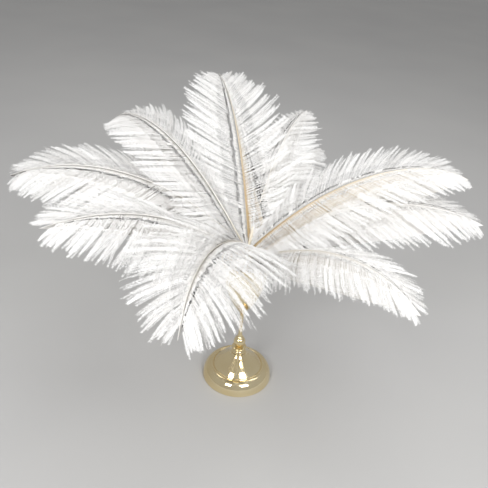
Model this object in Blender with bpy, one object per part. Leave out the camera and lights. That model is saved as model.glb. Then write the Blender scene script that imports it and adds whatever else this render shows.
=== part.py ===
# A bouquet of white ostrich plumes standing in a footed trumpet vase of yellow metal.
# Lengths are millimetres here and metres in the model, +Z is up, -Y is the front.
# The origin is the middle of the foot's underside.

from math import asin, cos, degrees, pi, radians, sin

import bmesh
import bpy
import numpy as np
from mathutils import Matrix

MM = 0.001
GAP = 0.3               # clearance kept between pieces that touch

# Foot of the vase: a rounded outer band, a fine step ring and a conical dome
FOOT_DIAMETER = 100.0
FOOT_RIM_HEIGHT = 2.4
FOOT_STEP_RADIUS = 37.2
FOOT_STEP_HEIGHT = 19.5
FOOT_DOME_RADIUS = 10.4
FOOT_HEIGHT = 43.5

# Baluster above the foot: a waisted collar, a ball and a thin stem
COLLAR_RADIUS = 10.6
COLLAR_WAIST = 7.6
COLLAR_HEIGHT = 10.2
KNOP_RADIUS = 8.6
KNOP_HEIGHT = 15.0
STEM_RADIUS = 2.9
STEM_FLARE = 5.2
STEM_HEIGHT = 46.0

# Cup that holds the quills
CUP_HEIGHT = 84.0
CUP_BASE_RADIUS = 5.0
CUP_MOUTH_RADIUS = 33.0
CUP_WALL = 1.6
CUP_FLOOR = 7.0

ROUND_SEGMENTS = 22
FINE_SEGMENTS = 14
STEM_SEGMENTS = 12

# Plumes
CROSSING_HEIGHT = 210.0  # where the quills cross, just above the cup's mouth
QUILL_LENGTH = 48.0      # quill below the crossing
QUILL_END_LEAN = 3.0
SHAFT_THICKNESS = 2.5
SHAFT_TIP_THICKNESS = 1.1
VANE_THICKNESS = 0.9
LOCK_TIP_THICKNESS = 0.6
VANE_START = 0.09        # shares of the length past the crossing
VANE_END = 0.93
SHAFT_TIP_LENGTH = 25.0  # the last lock, straight ahead of the shaft
LOCKS_PER_SIDE = 20
BARE_STEPS = 6
COLUMN_SHARES = (0.34, 0.66)  # where the sheet bends, as shares of a lock's length
BARB_ANGLE_BASE = 80.0   # between a lock and the shaft
BARB_ANGLE_MIDDLE = 66.0
BARB_ANGLE_TIP = 22.0
LOCK_CURL = 0.16         # how far a lock's end bends forward, as a share of its length
LOCK_PULL = 0.12         # how much nearer to the shaft that bend brings the end
VANE_FULL_UNTIL = 0.35   # share of the vane's length where it begins to narrow
VANE_NARROWING = 2.2     # power of that narrowing: the higher, the rounder the end
VANE_TIP_SHARE = 0.34    # width left at the vane's end

# heading: degrees from +X seen from above, and sway, how far it turns by the tip; lean: degrees
# from upright at the crossing and at the tip, with ease as the power that carries one to the
# other. A side, seen looking out along the plume, has its half width, its sag, its rise at the
# shaft in degrees at the base and at the tip, the share over which it widens, and the share of
# the width that it starts with. The rises let each plume pass over or under its neighbours.
PLUMES = {
    "feather_left_high": dict(
        heading=180, sway=5, lean=(45, 115), ease=1.4, length=335, crossing=(0, 8, 0),
        right=dict(width=75, sag=0.05, rise=(-15, 15), widen=0.3, start=0.2),
        left=dict(width=80, sag=0.20, rise=(-15, -30), widen=0.5, start=0.1)),
    "feather_left_low": dict(
        heading=-150, sway=20, lean=(45, 90), ease=1.2, length=300, crossing=(-1, -8, -2),
        right=dict(width=70, sag=0.05, rise=(-10, 10), widen=0.8, start=0.1),
        left=dict(width=80, sag=0.15, rise=(-40, -25), widen=0.2, start=0.2)),
    "feather_back_left": dict(
        heading=160, sway=-30, lean=(35, 135), ease=2.0, length=330, crossing=(4, -9, 0),
        right=dict(width=75, sag=0.10, rise=(-30, 10), widen=0.3, start=0.2),
        left=dict(width=70, sag=0.15, rise=(5, -35), widen=0.2, start=0.3)),
    "feather_back": dict(
        heading=105, sway=0, lean=(35, 95), ease=1.4, length=325, crossing=(1, 7, 4),
        right=dict(width=80, sag=0.10, rise=(20, 5), widen=0.6, start=0.1),
        left=dict(width=85, sag=0.10, rise=(20, 0), widen=0.6, start=0.1)),
    "feather_back_right": dict(
        heading=77, sway=-5, lean=(40, 100), ease=1.0, length=325, crossing=(-2, 0, 2),
        right=dict(width=60, sag=0.10, rise=(-10, -10), widen=0.2, start=0.3),
        left=dict(width=65, sag=0.15, rise=(-35, 0), widen=0.4, start=0.1)),
    "feather_back_right_low": dict(
        heading=68, sway=0, lean=(45, 110), ease=0.9, length=305, crossing=(1, 9, -6),
        right=dict(width=50, sag=0.10, rise=(-25, -20), widen=0.2, start=0.3),
        left=dict(width=55, sag=0.15, rise=(-30, -20), widen=0.2, start=0.3)),
    "feather_right_high": dict(
        heading=6, sway=14, lean=(40, 118), ease=1.5, length=335, crossing=(-2, -4, 4),
        right=dict(width=70, sag=0.20, rise=(-15, -10), widen=0.3, start=0.2),
        left=dict(width=70, sag=0.05, rise=(5, 5), widen=0.2, start=0.3)),
    "feather_right_low": dict(
        heading=2, sway=2, lean=(42, 116), ease=1.1, length=330, crossing=(-2, 0, -4),
        right=dict(width=75, sag=0.20, rise=(-5, -25), widen=0.5, start=0.2),
        left=dict(width=70, sag=0.15, rise=(-20, 20), widen=0.2, start=0.3)),
    "feather_front_right": dict(
        heading=-35, sway=-20, lean=(55, 115), ease=1.8, length=270, crossing=(3, -4, -4),
        right=dict(width=65, sag=0.15, rise=(-20, -5), widen=0.2, start=0.3),
        left=dict(width=60, sag=0.10, rise=(-20, 0), widen=0.3, start=0.3)),
    "feather_front": dict(
        heading=-115, sway=27, lean=(48, 98), ease=0.85, length=315, crossing=(2, 1, 9),
        right=dict(width=85, sag=0.10, rise=(20, 5), widen=0.6, start=0.2),
        left=dict(width=95, sag=0.10, rise=(0, -5), widen=0.2, start=0.3)),
}


def material(name, colour, metallic, roughness):
    made = bpy.data.materials.new(name)
    made.use_nodes = True
    shader = made.node_tree.nodes["Principled BSDF"]
    shader.inputs["Base Color"].default_value = (*colour, 1.0)
    shader.inputs["Metallic"].default_value = metallic
    shader.inputs["Roughness"].default_value = roughness
    return made


def object_from(bm, name, made, base_height=0.0):
    mesh = bpy.data.meshes.new(name)
    bm.to_mesh(mesh)
    bm.free()
    obj = bpy.data.objects.new(name, mesh)
    obj.location.z = base_height * MM
    mesh.materials.append(made)
    bpy.context.scene.collection.objects.link(obj)
    return obj


# A turned piece: the profile's (radius, height) points, from the axis round to the axis
def turned(name, profile, made, base_height, segments=ROUND_SEGMENTS):
    bm = bmesh.new()
    points = [bm.verts.new((radius * MM, 0, height * MM)) for radius, height in profile]
    edges = [bm.edges.new(pair) for pair in zip(points, points[1:])]
    bmesh.ops.spin(bm, geom=points + edges, cent=(0, 0, 0), axis=(0, 0, 1), angle=2 * pi,
                   steps=segments, use_merge=True, use_duplicate=False)
    bmesh.ops.remove_doubles(bm, verts=bm.verts, dist=1e-6)
    bmesh.ops.recalc_face_normals(bm, faces=bm.faces)
    obj = object_from(bm, name, made, base_height)
    obj.data.shade_smooth()
    obj.data.set_sharp_from_angle(angle=radians(35))
    return obj


def arc(centre, radius, start, end, steps):
    angles = np.radians(np.linspace(start, end, steps + 1))
    return [(centre[0] + radius * cos(a), centre[1] + radius * sin(a)) for a in angles]


def foot(brass):
    rim = FOOT_DIAMETER / 2
    band_width = rim - FOOT_STEP_RADIUS
    band_height = FOOT_STEP_HEIGHT - FOOT_RIM_HEIGHT
    band = [(FOOT_STEP_RADIUS + band_width * cos(a), FOOT_RIM_HEIGHT + band_height * sin(a))
            for a in np.radians((12, 35, 58, 78))]
    profile = [(0, 0), (rim - 0.8, 0), (rim, 0.8), (rim, FOOT_RIM_HEIGHT)]
    profile += band
    profile += [(FOOT_STEP_RADIUS, FOOT_STEP_HEIGHT + 0.2)]
    profile += [(FOOT_STEP_RADIUS - 0.8, FOOT_STEP_HEIGHT + 1.8)]
    profile += [(FOOT_STEP_RADIUS - 2.6, FOOT_STEP_HEIGHT + 2.6), (23.5, 31.0), (14.2, 38.6)]
    profile += [(FOOT_DOME_RADIUS, FOOT_HEIGHT), (0, FOOT_HEIGHT)]
    return turned("foot", profile, brass, 0)


def collar(brass):
    top = COLLAR_HEIGHT
    profile = [(0, 0), (COLLAR_RADIUS - 0.5, 0), (COLLAR_RADIUS, 0.9), (COLLAR_RADIUS - 0.6, 2.0)]
    profile += [(COLLAR_WAIST, 3.6), (COLLAR_WAIST, 5.2), (COLLAR_RADIUS - 0.8, 7.2)]
    profile += [(COLLAR_RADIUS, 8.4), (COLLAR_RADIUS - 0.8, top - 0.3), (COLLAR_WAIST - 2.6, top), (0, top)]
    return turned("collar", profile, brass, FOOT_HEIGHT + GAP, FINE_SEGMENTS)


def knop(brass):
    middle = KNOP_HEIGHT / 2
    cut = degrees(asin(middle / KNOP_RADIUS))
    ball = arc((0, middle), KNOP_RADIUS, -cut, cut, 7)
    return turned("knop", [(0, 0)] + ball + [(0, KNOP_HEIGHT)], brass, knop_base(), FINE_SEGMENTS)


def knop_base():
    return FOOT_HEIGHT + COLLAR_HEIGHT + 2 * GAP


def stem_base():
    return knop_base() + KNOP_HEIGHT + GAP


def cup_base():
    return stem_base() + STEM_HEIGHT + GAP


def stem(brass):
    profile = [(0, 0), (STEM_FLARE, 0), (STEM_RADIUS + 0.7, 1.6), (STEM_RADIUS, 5.0)]
    profile += [(STEM_RADIUS, STEM_HEIGHT - 5.0), (STEM_FLARE - 0.6, STEM_HEIGHT), (0, STEM_HEIGHT)]
    return turned("stem", profile, brass, stem_base(), STEM_SEGMENTS)


# Radius of the cup's outside at a height above its base: a swelling bell that ends in a flare
def cup_radius(height):
    share = height / CUP_HEIGHT
    belly = 1 - (1 - share) ** 2.6
    return CUP_BASE_RADIUS + (CUP_MOUTH_RADIUS - CUP_BASE_RADIUS) * (0.86 * belly + 0.14 * share ** 6)


def cup(brass):
    heights = [0, 4, 11, 22, 40, 60, CUP_HEIGHT]
    outside = [(cup_radius(h), h) for h in heights]
    inside = [(cup_radius(h) - CUP_WALL, h) for h in reversed(heights) if h > CUP_FLOOR]
    lip = [(CUP_MOUTH_RADIUS + 0.8, CUP_HEIGHT + 0.6), (CUP_MOUTH_RADIUS - CUP_WALL / 2, CUP_HEIGHT + 1.4)]
    return turned("cup", [(0, 0)] + outside + lip + inside + [(0, CUP_FLOOR)], brass, cup_base())


# Centre line of a plume's shaft: distances from the crossing, points and directions
def shaft_line(plume):
    below = np.arange(QUILL_LENGTH) + 0.5
    above = np.arange(plume["length"]) + 0.5
    share = above / plume["length"]
    lean_base, lean_tip = plume["lean"]
    lean_up = lean_base + (lean_tip - lean_base) * share ** plume["ease"]
    lean_down = lean_base + (QUILL_END_LEAN - lean_base) * below / QUILL_LENGTH
    lean = np.radians(np.concatenate([lean_down[::-1], lean_up]))
    heading = np.radians(np.concatenate([0 * below, plume["sway"] * share]) + plume["heading"])
    steps = np.stack([np.sin(lean) * np.cos(heading), np.sin(lean) * np.sin(heading), np.cos(lean)], axis=1)
    points = np.concatenate([np.zeros((1, 3)), np.cumsum(steps, axis=0)])
    points += np.array(plume["crossing"]) + (0, 0, CROSSING_HEIGHT) - points[len(below)]
    distances = np.arange(-len(below), len(above) + 1)
    directions = np.concatenate([steps[:1], steps[1:] + steps[:-1], steps[-1:]])
    return distances, points, directions


# Point, direction, right-hand side and back of the shaft at a distance from the crossing
def shaft_frame(line, distance):
    distances, points, directions = line
    point = np.array([np.interp(distance, distances, points[:, axis]) for axis in range(3)])
    ahead = np.array([np.interp(distance, distances, directions[:, axis]) for axis in range(3)])
    ahead /= np.linalg.norm(ahead)
    right = np.cross(ahead, (0, 0, 1))
    right /= np.linalg.norm(right)
    return point, ahead, right, np.cross(right, ahead)


def shaft_thickness(plume, distance):
    share = np.clip(distance / plume["length"], 0, 1)
    thickness = SHAFT_THICKNESS + (SHAFT_TIP_THICKNESS - SHAFT_THICKNESS) * share
    end = np.clip((distance + QUILL_LENGTH) / 8, 0, 1)
    return thickness * (0.7 + 0.3 * end)


# Half width of the vane at a share of its own length, as a share of the full half width
def vane_outline(share, widen, start):
    opening = 1 - (1 - np.clip(share / widen, 0, 1)) ** 2
    narrowing = np.clip((share - VANE_FULL_UNTIL) / (1 - VANE_FULL_UNTIL), 0, 1)
    closing = 1 - narrowing ** VANE_NARROWING
    return (start + (1 - start) * opening) * (VANE_TIP_SHARE + (1 - VANE_TIP_SHARE) * closing)


# A point on the vane: share runs along the vane, reach runs out along a lock
def vane_point(plume, line, side, share, reach):
    distance = plume["length"] * (VANE_START + (VANE_END - VANE_START) * share)
    point, ahead, right, back = shaft_frame(line, distance)
    vane = plume["right"] if side > 0 else plume["left"]
    length = vane["width"] * vane_outline(share, vane["widen"], vane["start"])
    length /= sin(radians(BARB_ANGLE_MIDDLE))
    angle = radians(BARB_ANGLE_BASE + (BARB_ANGLE_TIP - BARB_ANGLE_BASE) * share ** 1.5)
    rise_base, rise_tip = vane["rise"]
    rise = radians(rise_base + (rise_tip - rise_base) * share)
    outward = side * right * cos(rise) + back * sin(rise)
    sideways = sin(angle) * reach * (1 - LOCK_PULL * reach)
    forward = cos(angle) * reach + LOCK_CURL * sin(angle) * reach ** 2
    fall = -vane["sag"] * reach ** 2 * (back + np.array((0, 0, 1))) / 2
    return point + length * (outward * sideways + ahead * forward + fall)


# One plume: a sheet of quads, thick along the shaft, whose edges are drawn out into locks
def feather(name, plume, white):
    line = shaft_line(plume)
    vane_base = VANE_START * plume["length"]
    vane_length = (VANE_END - VANE_START) * plume["length"]
    rows = BARE_STEPS + LOCKS_PER_SIDE
    bm = bmesh.new()
    bmesh.ops.create_grid(bm, x_segments=rows, y_segments=6, size=1, matrix=Matrix.Identity(4))
    weights = bm.verts.layers.deform.verify()
    places = {v: (round((v.co.x + 1) / 2 * rows), round(3 * v.co.y)) for v in bm.verts}
    bare = [v for v, (row, column) in places.items() if row < BARE_STEPS and abs(column) > 1]
    for v in bare:
        del places[v]
    bmesh.ops.delete(bm, geom=bare, context="VERTS")
    grid = {place: v for v, place in places.items()}

    for v, (row, column) in places.items():
        if row <= BARE_STEPS:
            distance = -QUILL_LENGTH + (vane_base + QUILL_LENGTH) * row / BARE_STEPS
        else:
            distance = vane_base + vane_length * (row - BARE_STEPS) / LOCKS_PER_SIDE
        thickness = shaft_thickness(plume, distance)
        if abs(column) <= 1:
            point, ahead, right, back = shaft_frame(line, distance)
            place = point + right * column * thickness / 2
            weight = thickness if column == 0 else max(VANE_THICKNESS, thickness * 0.5)
        else:
            share = (row - BARE_STEPS) / LOCKS_PER_SIDE
            place = vane_point(plume, line, np.sign(column), share, COLUMN_SHARES[abs(column) - 2])
            weight = VANE_THICKNESS
        v.co = place * MM
        v[weights][0] = weight / SHAFT_THICKNESS

    tip_weight = LOCK_TIP_THICKNESS / SHAFT_THICKNESS
    for side in (-1, 1):
        for lock in range(LOCKS_PER_SIDE):
            row = BARE_STEPS + lock
            ends = grid[row, 3 * side], grid[row + 1, 3 * side]
            tip = vane_point(plume, line, side, (lock + 0.5) / LOCKS_PER_SIDE, 1.0)
            draw_out(bm, [bm.edges.get(ends)], tip, weights, tip_weight)
    last = [grid[rows, column] for column in (-1, 0, 1)]
    point, ahead, right, back = shaft_frame(line, vane_base + vane_length)
    draw_out(bm, [bm.edges.get(last[:2]), bm.edges.get(last[1:])], point + ahead * SHAFT_TIP_LENGTH,
             weights, tip_weight)
    bmesh.ops.recalc_face_normals(bm, faces=bm.faces)

    obj = object_from(bm, name, white)
    obj.vertex_groups.new(name="thickness")
    solid = obj.modifiers.new("Solidify", "SOLIDIFY")
    solid.thickness = SHAFT_THICKNESS * MM
    solid.offset = 0
    solid.vertex_group = "thickness"
    return obj


# Edges of the sheet drawn out to one point
def draw_out(bm, edges, tip, weights, weight):
    drawn = bmesh.ops.extrude_edge_only(bm, edges=edges)["geom"]
    ends = [v for v in drawn if isinstance(v, bmesh.types.BMVert)]
    for v in ends:
        v[weights][0] = weight
    bmesh.ops.pointmerge(bm, verts=ends, merge_co=tip * MM)


def main():
    for old in list(bpy.data.objects):
        bpy.data.objects.remove(old, do_unlink=True)
    brass = material("polished_brass", (0.83, 0.68, 0.40), 1.0, 0.16)
    white = material("white_plume", (0.92, 0.90, 0.86), 0.0, 0.85)
    for piece in (foot, collar, knop, stem, cup):
        piece(brass)
    for name, plume in PLUMES.items():
        feather(name, plume, white)


main()
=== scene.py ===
from math import cos, pi, radians, sin

import bmesh
import bpy
import numpy as np
from mathutils import Matrix, Vector


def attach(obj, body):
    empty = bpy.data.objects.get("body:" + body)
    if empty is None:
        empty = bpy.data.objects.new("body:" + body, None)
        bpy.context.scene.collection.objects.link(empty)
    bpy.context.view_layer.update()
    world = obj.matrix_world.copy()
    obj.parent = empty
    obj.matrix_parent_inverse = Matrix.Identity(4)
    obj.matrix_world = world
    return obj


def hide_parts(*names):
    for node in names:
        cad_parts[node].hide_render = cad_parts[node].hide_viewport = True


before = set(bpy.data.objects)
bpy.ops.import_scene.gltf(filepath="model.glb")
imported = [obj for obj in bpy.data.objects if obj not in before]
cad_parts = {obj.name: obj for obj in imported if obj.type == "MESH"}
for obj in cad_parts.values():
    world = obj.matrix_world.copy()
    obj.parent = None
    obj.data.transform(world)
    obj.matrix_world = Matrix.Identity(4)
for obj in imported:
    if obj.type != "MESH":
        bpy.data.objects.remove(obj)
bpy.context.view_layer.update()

mm = 0.001
upward = np.array((0.0, 0.0, 1.0))


# Materials

def newMaterial(name, roughness, metallic=0.0):
    made = bpy.data.materials.new(name)
    made.use_nodes = True
    shader = made.node_tree.nodes["Principled BSDF"]
    shader.inputs["Roughness"].default_value = roughness
    shader.inputs["Metallic"].default_value = metallic
    return made, made.node_tree, shader


def noiseOn(tree, vector, scale, detail=2.0):
    noise = tree.nodes.new("ShaderNodeTexNoise")
    noise.inputs["Scale"].default_value = scale
    noise.inputs["Detail"].default_value = detail
    tree.links.new(vector, noise.inputs["Vector"])
    return noise.outputs["Fac"]


def rampOn(tree, factor, stops):
    ramp = tree.nodes.new("ShaderNodeValToRGB")
    elements = ramp.color_ramp.elements
    while len(elements) < len(stops):
        elements.new(0.5)
    for element, (place, colour) in zip(elements, stops):
        element.position = place
        element.color = (*colour, 1.0)
    tree.links.new(factor, ramp.inputs["Fac"])
    return ramp.outputs["Color"]


brassLook = dict(
    bright=(0.93, 0.80, 0.52),
    dull=(0.80, 0.64, 0.36),
    roughness=(0.05, 0.16),
    driftScale=14.0,
    smudgeScale=38.0,
)


# Polished yellow metal: the colour drifts a little and the polish has faint smudges
def makeBrass(look):
    made, tree, shader = newMaterial("polishedBrass", 0.1, 1.0)
    place = tree.nodes.new("ShaderNodeTexCoord").outputs["Object"]
    drift = noiseOn(tree, place, look["driftScale"])
    colour = rampOn(tree, drift, ((0.30, look["dull"]), (0.62, look["bright"])))
    tree.links.new(colour, shader.inputs["Base Color"])
    smudge = noiseOn(tree, place, look["smudgeScale"], 5.0)
    spread = tree.nodes.new("ShaderNodeMapRange")
    spread.inputs["From Min"].default_value = 0.35
    spread.inputs["From Max"].default_value = 0.75
    spread.inputs["To Min"].default_value = look["roughness"][0]
    spread.inputs["To Max"].default_value = look["roughness"][1]
    tree.links.new(smudge, spread.inputs["Value"])
    tree.links.new(spread.outputs["Result"], shader.inputs["Roughness"])
    return made


barbLook = dict(
    # root: cream at the barbs' roots, partly their own tone and partly painted warm shade of the hollow where the
    # plumes cross
    root=(0.90, 0.875, 0.83),
    middle=(0.945, 0.935, 0.92),
    tip=(0.96, 0.957, 0.95),
    # colour of the darkest strands: painted shade of the gaps between strands
    shadedStrand=(0.84, 0.83, 0.82),
    rootEnd=0.10,         # share of the barb over which its root's colour fades
    roughness=0.9,
    specular=0.2,
    sheen=0.15,
)


# White barbs: creamier at the root, partly their own tone and partly painted warm shade of the hollow where the
# plumes cross; each strand darkened a little at random, as painted shade of the gaps between strands
def makeBarbs(look):
    made, tree, shader = newMaterial("whiteBarbs", look["roughness"])
    strand = tree.nodes.new("ShaderNodeUVMap")
    strand.uv_map = "strand"
    parts = tree.nodes.new("ShaderNodeSeparateXYZ")
    tree.links.new(strand.outputs["UV"], parts.inputs["Vector"])
    # the root's cream is partly painted shade of the hollow at the crossing
    alongStops = ((0.0, look["root"]), (look["rootEnd"], look["middle"]), (1.0, look["tip"]))
    along = rampOn(tree, parts.outputs["X"], alongStops)
    each = rampOn(tree, parts.outputs["Y"], ((0.0, look["shadedStrand"]), (0.5, (1.0, 1.0, 1.0))))
    both = tree.nodes.new("ShaderNodeMix")
    both.data_type = "RGBA"
    both.blend_type = "MULTIPLY"
    both.inputs["Factor"].default_value = 1.0
    tree.links.new(along, both.inputs["A"])
    tree.links.new(each, both.inputs["B"])
    tree.links.new(both.outputs["Result"], shader.inputs["Base Color"])
    shader.inputs["Sheen Weight"].default_value = look["sheen"]
    shader.inputs["Specular IOR Level"].default_value = look["specular"]
    return made


quillLook = dict(
    roughness=0.42,
    coat=0.15,
    # the dark stop at 0.16, round the crossing, is painted shade of the hollow where the plumes meet
    ivory=((0.0, (0.80, 0.74, 0.62)), (0.16, (0.66, 0.58, 0.44)), (0.30, (0.86, 0.82, 0.74)),
           (0.7, (0.92, 0.90, 0.87))),
    tan=((0.0, (0.80, 0.74, 0.62)), (0.16, (0.36, 0.26, 0.13)), (0.34, (0.50, 0.37, 0.22)),
         (0.60, (0.72, 0.62, 0.47)), (0.85, (0.90, 0.87, 0.81))),
    grey=((0.0, (0.80, 0.74, 0.62)), (0.16, (0.52, 0.45, 0.35)), (0.34, (0.50, 0.46, 0.40)),
          (0.62, (0.68, 0.64, 0.58)), (0.9, (0.90, 0.88, 0.84))),
)


# Horn of the shaft, in one of three tones: darker round the crossing, which is painted shade of the hollow where
# the plumes meet, and ivory towards the tip
def makeQuill(look, tone):
    made, tree, shader = newMaterial(tone + "Quill", look["roughness"])
    strand = tree.nodes.new("ShaderNodeUVMap")
    strand.uv_map = "strand"
    parts = tree.nodes.new("ShaderNodeSeparateXYZ")
    tree.links.new(strand.outputs["UV"], parts.inputs["Vector"])
    tree.links.new(rampOn(tree, parts.outputs["X"], look[tone]), shader.inputs["Base Color"])
    shader.inputs["Coat Weight"].default_value = look["coat"]
    return made


# Vase

# A turned piece of fine segments, from its outline of (radius, height) points on the axis's +X side
def turnedPiece(name, outline, base, segments):
    bm = bmesh.new()
    points = [bm.verts.new((radius * mm, 0.0, (base + height) * mm)) for radius, height in outline]
    edges = [bm.edges.new(pair) for pair in zip(points, points[1:])]
    bmesh.ops.spin(bm, geom=points + edges, cent=(0, 0, 0), axis=(0, 0, 1), angle=2 * pi,
                   steps=segments, use_merge=True, use_duplicate=False)
    bmesh.ops.remove_doubles(bm, verts=bm.verts, dist=1e-7)
    bmesh.ops.recalc_face_normals(bm, faces=bm.faces)
    mesh = bpy.data.meshes.new(name)
    bm.to_mesh(mesh)
    bm.free()
    mesh.shade_smooth()
    mesh.set_sharp_from_angle(angle=radians(40))
    piece = bpy.data.objects.new(name, mesh)
    bpy.context.scene.collection.objects.link(piece)
    return piece


# Points on an arc, angles in degrees from the outward direction
def arcPoints(centre, radius, start, end, steps):
    angles = np.radians(np.linspace(start, end, steps + 1))
    return [(centre[0] + radius * cos(a), centre[1] + radius * sin(a)) for a in angles]


# A smooth curve through a few (radius, height) points
def smoothThrough(points, steps):
    points = np.array(points, float)
    padded = np.vstack([2 * points[0] - points[1], points, 2 * points[-1] - points[-2]])
    out = []
    for before, start, end, after in zip(padded, padded[1:], padded[2:], padded[3:]):
        for t in np.arange(steps) / steps:
            out.append(tuple(0.5 * (2 * start + (end - before) * t
                                    + (2 * before - 5 * start + 4 * end - after) * t ** 2
                                    + (3 * start - before - 3 * end + after) * t ** 3)))
    return out + [tuple(points[-1])]


footShape = dict(
    radius=50.0,
    rimHeight=2.4,
    stepRadius=37.2,
    stepHeight=19.5,
    topRadius=10.4,
    height=43.5,
    segments=160,
)


def makeFoot(shape):
    rim, step = shape["radius"], shape["stepRadius"]
    stepHeight, top = shape["stepHeight"], shape["height"]
    bandWidth, bandHeight = rim - step, stepHeight - shape["rimHeight"]
    outline = [(0.0, 0.0), (rim - 1.0, 0.0)]
    outline += arcPoints((rim - 1.0, 1.0), 1.0, -75, 0, 5)
    outline += [(rim, shape["rimHeight"] - 0.5), (rim - 0.35, shape["rimHeight"])]
    for a in np.radians(np.linspace(4, 84, 22)):
        outline.append((step + (bandWidth - 0.4) * cos(a), shape["rimHeight"] + bandHeight * sin(a)))
    outline += arcPoints((step - 0.2, stepHeight + 1.0), 1.0, -60, 120, 10)
    outline += [(step - 1.3, stepHeight + 1.3), (step - 2.0, stepHeight + 1.25)]
    outline += smoothThrough([(step - 2.6, stepHeight + 2.0), (30.0, 26.0), (23.5, 31.2), (17.2, 36.6),
                              (13.0, 40.2), (shape["topRadius"] + 1.0, 42.4)], 6)
    outline += [(shape["topRadius"], top - 0.5), (shape["topRadius"], top), (0.0, top)]
    return turnedPiece("vaseFoot", outline, 0.0, shape["segments"])


collarShape = dict(radius=10.6, waist=7.4, height=10.2, base=43.8, segments=96)


def makeCollar(shape):
    outer, waist, top = shape["radius"], shape["waist"], shape["height"]
    outline = [(0.0, 0.0), (outer - 0.8, 0.0)]
    outline += arcPoints((outer - 0.8, 0.8), 0.8, -80, 70, 8)
    outline += smoothThrough([(outer - 1.3, 1.9), (waist + 0.4, 3.2), (waist, 4.6), (waist + 0.7, 6.0),
                              (outer - 1.4, 7.2)], 5)
    outline += arcPoints((outer - 1.0, 8.2), 1.0, -60, 80, 9)
    outline += [(waist - 1.6, top - 0.4), (waist - 2.6, top), (0.0, top)]
    return turnedPiece("vaseCollar", outline, shape["base"], shape["segments"])


knopShape = dict(radius=8.6, height=15.0, base=54.3, segments=96)


def makeKnop(shape):
    ball = arcPoints((0.0, shape["height"] / 2), shape["radius"], -59, 59, 30)
    outline = [(0.0, 0.0), (ball[0][0] - 0.4, 0.0)] + ball + [(ball[-1][0] - 0.4, shape["height"])]
    return turnedPiece("vaseKnop", outline + [(0.0, shape["height"])], shape["base"], shape["segments"])


stemShape = dict(radius=2.7, flare=5.1, height=46.0, base=69.6, segments=64)


def makeStem(shape):
    flare, radius, top = shape["flare"], shape["radius"], shape["height"]
    outline = [(0.0, 0.0), (flare, 0.0), (flare, 0.6)]
    outline += smoothThrough([(flare - 0.5, 1.0), (radius + 0.9, 2.6), (radius + 0.2, 6.0), (radius, 10.0),
                              (radius, top / 2), (radius, top - 8.0), (radius + 0.5, top - 3.5),
                              (flare - 0.9, top - 0.8)], 5)
    outline += [(flare - 0.6, top), (0.0, top)]
    return turnedPiece("vaseStem", outline, shape["base"], shape["segments"])


cupShape = dict(baseRadius=5.0, mouthRadius=33.0, wall=1.2, floor=7.0, height=84.0, base=115.9, segments=128)


def makeCup(shape):
    height = shape["height"]
    widening = shape["mouthRadius"] - shape["baseRadius"]

    def radiusAt(up):
        share = up / height
        return shape["baseRadius"] + widening * (0.86 * (1 - (1 - share) ** 2.6) + 0.14 * share ** 6)

    heights = height * np.linspace(0, 1, 40) ** 1.3
    outline = [(0.0, 0.0)] + [(radiusAt(up), up) for up in heights]
    outline += arcPoints((shape["mouthRadius"] - 0.2, height + 0.5), 0.95, -50, 190, 14)
    inner = [(radiusAt(up) - shape["wall"], up) for up in heights[::-1] if up > shape["floor"] + 1.5]
    outline += inner + [(inner[-1][0] * 0.6, shape["floor"] + 0.4), (0.0, shape["floor"])]
    return turnedPiece("vaseCup", outline, shape["base"], shape["segments"])


# Plumes

crossingHeight = 210.0
quillLength = 48.0
quillEndLean = 3.0
vaneStart, vaneEnd = 0.09, 0.93

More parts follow.
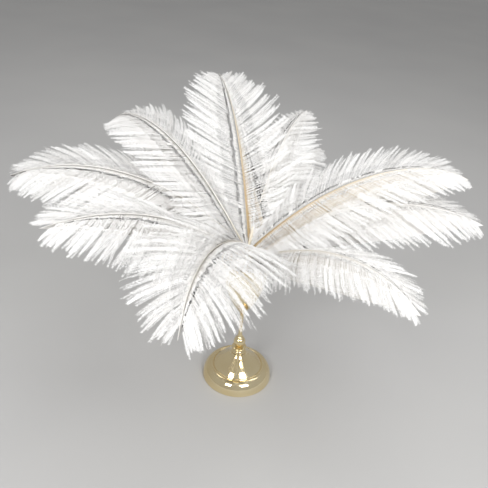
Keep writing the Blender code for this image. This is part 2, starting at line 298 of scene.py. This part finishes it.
# The same plumes as the solids, in millimetres and degrees: heading is counted from +X, lean from
# upright, at the crossing and at the tip, and rise from level, at the vane's base and at its tip
plumes = dict(
    plumeLeftHigh=dict(
        node="feather_left_high", seed=1, shaft="ivory",
        heading=180, sway=5, lean=(45, 115), ease=1.4, length=335, crossing=(0, 8, 0),
        right=dict(width=75, sag=0.05, rise=(-15, 15)), left=dict(width=80, sag=0.20, rise=(-15, -30))),
    plumeLeftLow=dict(
        node="feather_left_low", seed=2, shaft="ivory",
        heading=-150, sway=20, lean=(45, 90), ease=1.2, length=300, crossing=(-1, -8, -2),
        right=dict(width=70, sag=0.05, rise=(-10, 10)), left=dict(width=80, sag=0.15, rise=(-40, -25))),
    plumeBackLeft=dict(
        node="feather_back_left", seed=3, shaft="ivory",
        heading=160, sway=-30, lean=(35, 135), ease=2.0, length=330, crossing=(4, -9, 0),
        right=dict(width=75, sag=0.10, rise=(-30, 10)), left=dict(width=70, sag=0.15, rise=(5, -35))),
    plumeBack=dict(
        node="feather_back", seed=4, shaft="tan",
        heading=105, sway=0, lean=(35, 95), ease=1.4, length=325, crossing=(1, 7, 4),
        right=dict(width=80, sag=0.10, rise=(20, 5)), left=dict(width=85, sag=0.10, rise=(20, 0))),
    plumeBackRight=dict(
        node="feather_back_right", seed=5, shaft="ivory",
        heading=77, sway=-5, lean=(40, 100), ease=1.0, length=325, crossing=(-2, 0, 2),
        right=dict(width=60, sag=0.10, rise=(-10, -10)), left=dict(width=65, sag=0.15, rise=(-35, 0))),
    plumeBackRightLow=dict(
        node="feather_back_right_low", seed=6, shaft="ivory",
        heading=68, sway=0, lean=(45, 110), ease=0.9, length=305, crossing=(1, 9, -6),
        right=dict(width=50, sag=0.10, rise=(-25, -20)), left=dict(width=55, sag=0.15, rise=(-30, -20))),
    plumeRightHigh=dict(
        node="feather_right_high", seed=7, shaft="tan",
        heading=6, sway=14, lean=(40, 118), ease=1.5, length=335, crossing=(-2, -4, 4),
        right=dict(width=70, sag=0.20, rise=(-15, -10)), left=dict(width=70, sag=0.05, rise=(5, 5))),
    plumeRightLow=dict(
        node="feather_right_low", seed=8, shaft="ivory",
        heading=2, sway=2, lean=(42, 116), ease=1.1, length=330, crossing=(-2, 0, -4),
        right=dict(width=75, sag=0.20, rise=(-5, -25)), left=dict(width=70, sag=0.15, rise=(-20, 20))),
    plumeFrontRight=dict(
        node="feather_front_right", seed=9, shaft="grey",
        heading=-35, sway=-20, lean=(55, 115), ease=1.8, length=270, crossing=(3, -4, -4),
        right=dict(width=65, sag=0.15, rise=(-20, -5)), left=dict(width=60, sag=0.10, rise=(-20, 0))),
    plumeFront=dict(
        node="feather_front", seed=10, shaft="grey",
        heading=-115, sway=27, lean=(48, 98), ease=0.85, length=315, crossing=(2, 1, 9),
        right=dict(width=85, sag=0.10, rise=(20, 5)), left=dict(width=95, sag=0.10, rise=(0, -5))),
)


# Centre line of a shaft: distances from the crossing, points and directions
def shaftLine(plume):
    below = np.arange(quillLength) + 0.5
    above = np.arange(plume["length"]) + 0.5
    share = above / plume["length"]
    leanBase, leanTip = plume["lean"]
    leanUp = leanBase + (leanTip - leanBase) * share ** plume["ease"]
    leanDown = leanBase + (quillEndLean - leanBase) * below / quillLength
    lean = np.radians(np.concatenate([leanDown[::-1], leanUp]))
    heading = np.radians(np.concatenate([0 * below, plume["sway"] * share]) + plume["heading"])
    steps = np.stack([np.sin(lean) * np.cos(heading), np.sin(lean) * np.sin(heading), np.cos(lean)], axis=1)
    points = np.concatenate([np.zeros((1, 3)), np.cumsum(steps, axis=0)])
    points += np.array(plume["crossing"]) + (0, 0, crossingHeight) - points[len(below)]
    distances = np.arange(-len(below), len(above) + 1)
    directions = np.concatenate([steps[:1], steps[1:] + steps[:-1], steps[-1:]])
    return distances, points, directions


def unit(vectors):
    return vectors / np.linalg.norm(vectors, axis=-1, keepdims=True)


# Points of the shaft at some distances, with the ways ahead, right and back (up from the vane)
def shaftFrames(line, distance):
    distances, points, directions = line
    point = np.stack([np.interp(distance, distances, points[:, axis]) for axis in range(3)], axis=-1)
    ahead = unit(np.stack([np.interp(distance, distances, directions[:, axis]) for axis in range(3)], axis=-1))
    right = unit(np.cross(ahead, upward))
    return point, ahead, right, np.cross(right, ahead)


shaftShape = dict(thickness=2.0, tipThickness=0.45, rings=120, sides=10)


def shaftThickness(plume, distance):
    share = np.clip(distance / plume["length"], 0, 1)
    thickness = shaftShape["thickness"] + (shaftShape["tipThickness"] - shaftShape["thickness"]) * share ** 0.7
    return thickness * (0.72 + 0.28 * np.clip((distance + quillLength) / 10, 0, 1))


vaneShape = dict(
    firstShare=-0.10,     # where the barbs begin: close to the crossing, below the solid's vane
    lastShare=1.005,
    baseFullness=0.50,    # length of the first barbs, as a share of the longest
    fullFrom=0.22,
    fullUntil=0.35,
    narrowing=2.2,
    tipShare=0.34,
)


# Length of the barbs along the vane, as a share of the longest
def vaneOutline(share):
    shape = vaneShape
    opening = np.clip((share - shape["firstShare"]) / (shape["fullFrom"] - shape["firstShare"]), 0, 1)
    opening = shape["baseFullness"] + (1 - shape["baseFullness"]) * (1 - (1 - opening) ** 2)
    narrowing = np.clip((share - shape["fullUntil"]) / (1 - shape["fullUntil"]), 0, 1)
    return opening * (1 - (1 - shape["tipShare"]) * narrowing ** shape["narrowing"])


barbShape = dict(
    perSide=210,          # barbs on each side of a shaft
    steps=12,             # bends of one barb
    spineWidth=1.5,
    spineTaper=0.8,       # share of its width that the spine loses by its tip
    barbules=176,         # on both sides of one barb
    firstBarbule=0.012,   # where they start, and how much of the barb they cover
    barbuleSpan=0.965,
    barbuleLength=2.6,
    barbuleBase=0.8,
    barbuleAngle=36,
    barbuleHeight=0.4,    # how far a tip stands off the barb's plane, for its length
    barbuleScatter=0.005,
    usualLength=80.0,
    angleBase=80, angleMiddle=66, angleTip=22,
    angleCrossing=52,     # of the first barbs, which stand up round the crossing
    curl=0.16, pull=0.12,
    strandBarbs=2.8,      # barbs that cling together in one strand, on average
    strandPull=0.85,
    strandReach=(0.25, 0.85),   # where along the barb the pull begins and where it is full
    tuftBarbs=13.0,       # barbs in one of the wider tufts, between which a vane splits
    tuftPull=0.30,
    tuftReach=(0.35, 1.0),
    meanLength=0.96,      # below: how much values vary, from strand to strand and from barb to barb
    strandLength=0.06, barbLength=0.025,
    strandAngle=1.6, barbAngle=0.7,
    strandLift=1.6, barbLift=0.5,
    strandWave=0.5, barbWave=0.1,
    strandTwist=0.22, barbTwist=0.12,
    # strandShade and barbShade darken strands at random: painted shade of the gaps between them
    strandShade=0.16, barbShade=0.10,
    strays=0.03,          # share of the barbs that leave their strand
    strayAngle=9.0,
)


# One flat barb along X from 0 to 1 with its fringe of barbules, Y across and Z up in millimetres
def barbTemplate(shape, draws):
    bm = bmesh.new()
    bmesh.ops.create_grid(bm, x_segments=shape["steps"], y_segments=1, size=0.5)
    for v in bm.verts:
        along = v.co.x + 0.5
        v.co = (along, v.co.y * shape["spineWidth"] * (1 - shape["spineTaper"] * along ** 4), 0.0)
    spineVerts = len(bm.verts)
    perSide = shape["barbules"] // 2
    half = shape["barbuleBase"] / shape["usualLength"] / 2
    for side in (-1, 1):
        for number in range(perSide):
            corners = bmesh.ops.create_circle(bm, cap_ends=True, segments=3, radius=1.0)["verts"]
            step = number + 0.5 + draws.uniform(-0.3, 0.3)
            start = shape["firstBarbule"] + shape["barbuleSpan"] * step / perSide
            length = shape["barbuleLength"] * draws.uniform(0.75, 1.25)
            length *= 1 - 0.6 * max(0, (start - 0.75) / 0.25) ** 1.5
            turn = radians(shape["barbuleAngle"] + draws.uniform(-8, 8))
            edge = side * 0.3 * shape["spineWidth"] * (1 - shape["spineTaper"] * start ** 4)
            places = ((start - half, edge, 0.0), (start + half, edge, 0.0),
                      (start + length * cos(turn) / shape["usualLength"], edge + side * length * sin(turn),
                       draws.uniform(-shape["barbuleHeight"], shape["barbuleHeight"]) * length))
            for corner, place in zip(corners, places if side < 0 else (places[1], places[0], places[2])):
                corner.co = place
    bmesh.ops.recalc_face_normals(bm, faces=bm.faces)
    bmesh.ops.reverse_faces(bm, faces=[face for face in bm.faces if face.normal.z < 0])
    mesh = bpy.data.meshes.new("barb")
    bm.to_mesh(mesh)
    bm.free()
    return mesh, spineVerts


# Many copies of the barb as one mesh, all in the same place until they are laid along a shaft
def arrayed(mesh, count):
    holder = bpy.data.objects.new("barbRow", mesh)
    bpy.context.scene.collection.objects.link(holder)
    row = holder.modifiers.new("Row", "ARRAY")
    row.use_relative_offset = False
    row.count = count
    whole = bpy.data.meshes.new_from_object(holder.evaluated_get(bpy.context.evaluated_depsgraph_get()))
    bpy.data.objects.remove(holder)
    return whole


# Tube of the shaft: X along it from 0 to 1, Y and Z round it with radius 1
def tubeShape(shape):
    bm = bmesh.new()
    bmesh.ops.create_grid(bm, x_segments=shape["rings"], y_segments=shape["sides"], size=0.5)
    for v in bm.verts:
        turn = 2 * pi * (v.co.y + 0.5)
        v.co = (v.co.x + 0.5, cos(turn), sin(turn))
    bmesh.ops.remove_doubles(bm, verts=bm.verts, dist=1e-5)
    bmesh.ops.holes_fill(bm, edges=[edge for edge in bm.edges if edge.is_boundary])
    bmesh.ops.recalc_face_normals(bm, faces=bm.faces)
    return bm


def smoothStep(value, low, high):
    share = np.clip((value - low) / (high - low), 0, 1)
    return share * share * (3 - 2 * share)


# Middle line of barbs: share runs along the vane, reach out along the barb, one of each a vertex
def barbLine(plume, line, side, share, reach, barbs):
    shape = barbShape
    distance = plume["length"] * (vaneStart + (vaneEnd - vaneStart) * share)
    point, ahead, right, back = shaftFrames(line, distance)
    vane = plume["right"] if side > 0 else plume["left"]
    length = vane["width"] * vaneOutline(share) * barbs["length"] / sin(radians(shape["angleMiddle"]))
    onVane = np.clip(share, 0, 1)
    crossing = np.clip(share / vaneShape["firstShare"], 0, 1)
    angle = shape["angleBase"] + (shape["angleTip"] - shape["angleBase"]) * onVane ** 1.5
    angle = np.radians(angle + (shape["angleCrossing"] - shape["angleBase"]) * crossing + barbs["angle"])
    riseBase, riseTip = vane["rise"]
    rise = np.radians(riseBase + (riseTip - riseBase) * onVane)[..., None]
    outward = side * right * np.cos(rise) + back * np.sin(rise)
    sideways = (np.sin(angle) * reach * (1 - shape["pull"] * reach))[..., None]
    forward = (np.cos(angle) * reach + shape["curl"] * np.sin(angle) * reach ** 2)[..., None]
    fall = -vane["sag"] * (reach ** 2)[..., None] * (back + upward) / 2
    lift = barbs["lift"] * reach ** 1.5 + barbs["wave"] * np.sin(2 * pi * (1.2 * reach + barbs["phase"])) * reach
    root = (shaftThickness(plume, distance) / 2 * 0.8)[..., None] * side * right
    return (point + root + length[..., None] * (outward * sideways + ahead * forward + fall)
            + lift[..., None] * back), ahead


# Neighbours in groups of uneven size: each barb's group, and the group's middle along the vane
def grouped(share, size, draws):
    count = len(share)
    ends = np.cumsum(1 + draws.poisson(size - 1, count))
    group = np.searchsorted(ends, np.arange(count), side="right")
    return group, (np.bincount(group, share) / np.bincount(group))[group]


# World places of one side's barbs, from the row's own coordinates
def laidBarbs(plume, line, side, local, spineVerts, draws):
    shape = barbShape
    count = shape["perSide"]
    spread = (np.arange(count) + 0.5 + draws.uniform(-0.3, 0.3, count)) / count
    share = vaneShape["firstShare"] + (vaneShape["lastShare"] - vaneShape["firstShare"]) * spread
    strand, strandMiddle = grouped(share, shape["strandBarbs"], draws)
    tuft, tuftMiddle = grouped(share, shape["tuftBarbs"], draws)
    stray = draws.random(count) < shape["strays"]
    strandPull = shape["strandPull"] * np.where(stray, 0, draws.uniform(0.8, 1.0, count))
    tuftPull = shape["tuftPull"] * draws.uniform(0.3, 1.0, count)[tuft]

    # One draw for each strand and a smaller one for each barb
    def varied(perStrand, perBarb):
        return (perStrand * draws.normal(0, 1, count)[strand] + perBarb * draws.normal(0, 1, count))[:, None]

    barbs = dict(
        length=shape["meanLength"] + varied(shape["strandLength"], shape["barbLength"]),
        angle=(varied(shape["strandAngle"], shape["barbAngle"])
               + shape["strayAngle"] * (stray * draws.normal(0, 1, count))[:, None]),
        lift=varied(shape["strandLift"], shape["barbLift"]),
        wave=varied(shape["strandWave"], shape["barbWave"]),
        phase=draws.random(count)[strand][:, None])
    along = np.tile(local[:, 0], (count, 1))
    across = np.tile(local[:, 1], (count, 1))
    height = np.tile(local[:, 2], (count, 1))
    barbules = (local.shape[0] - spineVerts) // 3
    scatter = draws.normal(0, shape["barbuleScatter"], (count, barbules))
    along[:, spineVerts:] += np.repeat(scatter, 3, axis=1)
    height[:, spineVerts:] *= np.repeat(draws.normal(0, 1, (count, barbules)), 3, axis=1)
    along = np.clip(along, 0, 1.03)

    def middle(reach):
        moved = (strandMiddle - share)[:, None] * strandPull[:, None] * smoothStep(reach, *shape["strandReach"])
        moved = moved + (tuftMiddle - share)[:, None] * tuftPull[:, None] * smoothStep(reach, *shape["tuftReach"])
        return barbLine(plume, line, side, share[:, None] + moved, reach, barbs)

    centreLine, ahead = middle(along)
    further, _ = middle(along + 0.01)
    tangent = unit(further - centreLine)
    sideWay = unit(side * (ahead - tangent * np.sum(ahead * tangent, axis=-1, keepdims=True)))
    normal = np.cross(tangent, sideWay)
    twist = (varied(shape["strandTwist"], shape["barbTwist"]) * (0.4 + along))[..., None]
    turned = sideWay * np.cos(twist) + normal * np.sin(twist)
    normal = normal * np.cos(twist) - sideWay * np.sin(twist)
    places = centreLine + turned * across[..., None] + normal * height[..., None]
    # painted shade: each strand and barb darkened a little at random, for the shadow lines between them
    shade = np.clip(0.5 + varied(shape["strandShade"], shape["barbShade"]), 0, 1)
    strandMap = np.stack([along, np.broadcast_to(shade, along.shape)], axis=-1)
    return places.reshape(-1, 3), strandMap.reshape(-1, 2)


def makePlume(name, plume, barbMesh, spineVerts, materials):
    draws = np.random.default_rng(plume["seed"])
    line = shaftLine(plume)
    bm = tubeShape(shaftShape)
    for face in bm.faces:
        face.material_index = 1
    tubeVerts = len(bm.verts)
    row = arrayed(barbMesh, 2 * barbShape["perSide"])
    bm.from_mesh(row)
    bpy.data.meshes.remove(row)
    mesh = bpy.data.meshes.new(name)
    bm.to_mesh(mesh)
    bm.free()

    local = np.empty(len(mesh.vertices) * 3)
    mesh.vertices.foreach_get("co", local)
    local = local.reshape(-1, 3)
    tube, oneBarb = local[:tubeVerts], local[tubeVerts:tubeVerts + len(barbMesh.vertices)]
    distance = -quillLength + (quillLength + plume["length"]) * tube[:, 0]
    point, ahead, right, back = shaftFrames(line, distance)
    radius = (shaftThickness(plume, distance) / 2)[:, None]
    places = [point + radius * (right * tube[:, 1:2] + back * tube[:, 2:3])]
    strands = [np.stack([tube[:, 0], 0 * tube[:, 0]], axis=-1)]
    for side in (1, -1):
        laid, strand = laidBarbs(plume, line, side, oneBarb, spineVerts, draws)
        places.append(laid)
        strands.append(strand)
    mesh.vertices.foreach_set("co", (np.concatenate(places) * mm).ravel())
    corners = np.empty(len(mesh.loops), dtype=np.int32)
    mesh.loops.foreach_get("vertex_index", corners)
    layer = mesh.uv_layers.new(name="strand")
    layer.data.foreach_set("uv", np.concatenate(strands)[corners].ravel())
    for material in materials:
        mesh.materials.append(material)
    mesh.shade_smooth()
    mesh.update()
    piece = bpy.data.objects.new(name, mesh)
    bpy.context.scene.collection.objects.link(piece)
    return piece


# Studio

floorLook = dict(size=14.0, pale=(0.50, 0.495, 0.485), shade=(0.47, 0.465, 0.46), patchScale=2.5,
                 roughness=0.7)


def makeFloor(look):
    bm = bmesh.new()
    bmesh.ops.create_grid(bm, x_segments=1, y_segments=1, size=look["size"] / 2)
    mesh = bpy.data.meshes.new("floor")
    bm.to_mesh(mesh)
    bm.free()
    floor = bpy.data.objects.new("floor", mesh)
    bpy.context.scene.collection.objects.link(floor)
    made, tree, shader = newMaterial("paleFloor", look["roughness"])
    place = tree.nodes.new("ShaderNodeTexCoord").outputs["Object"]
    patches = noiseOn(tree, place, look["patchScale"])
    colour = rampOn(tree, patches, ((0.3, look["shade"]), (0.7, look["pale"])))
    tree.links.new(colour, shader.inputs["Base Color"])
    mesh.materials.append(made)


cameraLook = dict(lens=44.26, sensor=36.0, target=(-0.006, 0.0, 0.2244), distance=0.780, pitch=31.0, roll=5.1)


def makeCamera(look):
    data = bpy.data.cameras.new("camera")
    data.lens = look["lens"]
    data.sensor_width = look["sensor"]
    data.clip_start = 0.01
    camera = bpy.data.objects.new("camera", data)
    bpy.context.scene.collection.objects.link(camera)
    pitch = radians(look["pitch"])
    place = Vector(look["target"]) + look["distance"] * Vector((0.0, -cos(pitch), sin(pitch)))
    turn = Matrix.Rotation(pi / 2 - pitch, 4, "X") @ Matrix.Rotation(radians(look["roll"]), 4, "Z")
    camera.matrix_world = Matrix.Translation(place) @ turn
    bpy.context.scene.camera = camera


lightsAim = (0.0, 0.0, 0.2)
lights = dict(
    windowLeft=dict(place=(-0.55, -1.10, 1.15), size=(0.45, 0.60), power=10.0),
    windowRight=dict(place=(0.65, -1.00, 1.20), size=(0.60, 0.60), power=12.0),
    ceiling=dict(place=(0.10, 0.40, 1.90), size=(1.60, 1.20), power=12.0),
)


def makeLight(name, look):
    data = bpy.data.lights.new(name, "AREA")
    data.shape = "RECTANGLE"
    data.size, data.size_y = look["size"]
    data.energy = look["power"]
    light = bpy.data.objects.new(name, data)
    light.location = look["place"]
    light.rotation_euler = (Vector(lightsAim) - light.location).to_track_quat("-Z", "Y").to_euler()
    bpy.context.scene.collection.objects.link(light)


worldLook = dict(colour=(1.0, 1.0, 1.0), strength=0.42)


def makeWorld(look):
    world = bpy.data.worlds.new("room")
    bpy.context.scene.world = world
    world.use_nodes = True
    room = world.node_tree.nodes["Background"]
    room.inputs["Color"].default_value = (*look["colour"], 1.0)
    room.inputs["Strength"].default_value = look["strength"]


print("camera, floor and lights")
makeCamera(cameraLook)
makeFloor(floorLook)
makeWorld(worldLook)
for lightName, lightLook in lights.items():
    makeLight(lightName, lightLook)
bpy.context.scene.view_settings.view_transform = "Standard"

print("vase")
brass = makeBrass(brassLook)
vase = dict(foot=makeFoot(footShape), collar=makeCollar(collarShape), knop=makeKnop(knopShape),
            stem=makeStem(stemShape), cup=makeCup(cupShape))
for node, piece in vase.items():
    piece.data.materials.append(brass)
    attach(piece, "root")
    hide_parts(node)

barbMesh, spineVerts = barbTemplate(barbShape, np.random.default_rng(0))
barbs = makeBarbs(barbLook)
quills = {tone: makeQuill(quillLook, tone) for tone in ("ivory", "tan", "grey")}
for name, plume in plumes.items():
    piece = makePlume(name, plume, barbMesh, spineVerts, (barbs, quills[plume["shaft"]]))
    print("plume", name, len(piece.data.polygons), "faces")
    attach(piece, "root")
    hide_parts(plume["node"])
bpy.data.meshes.remove(barbMesh)
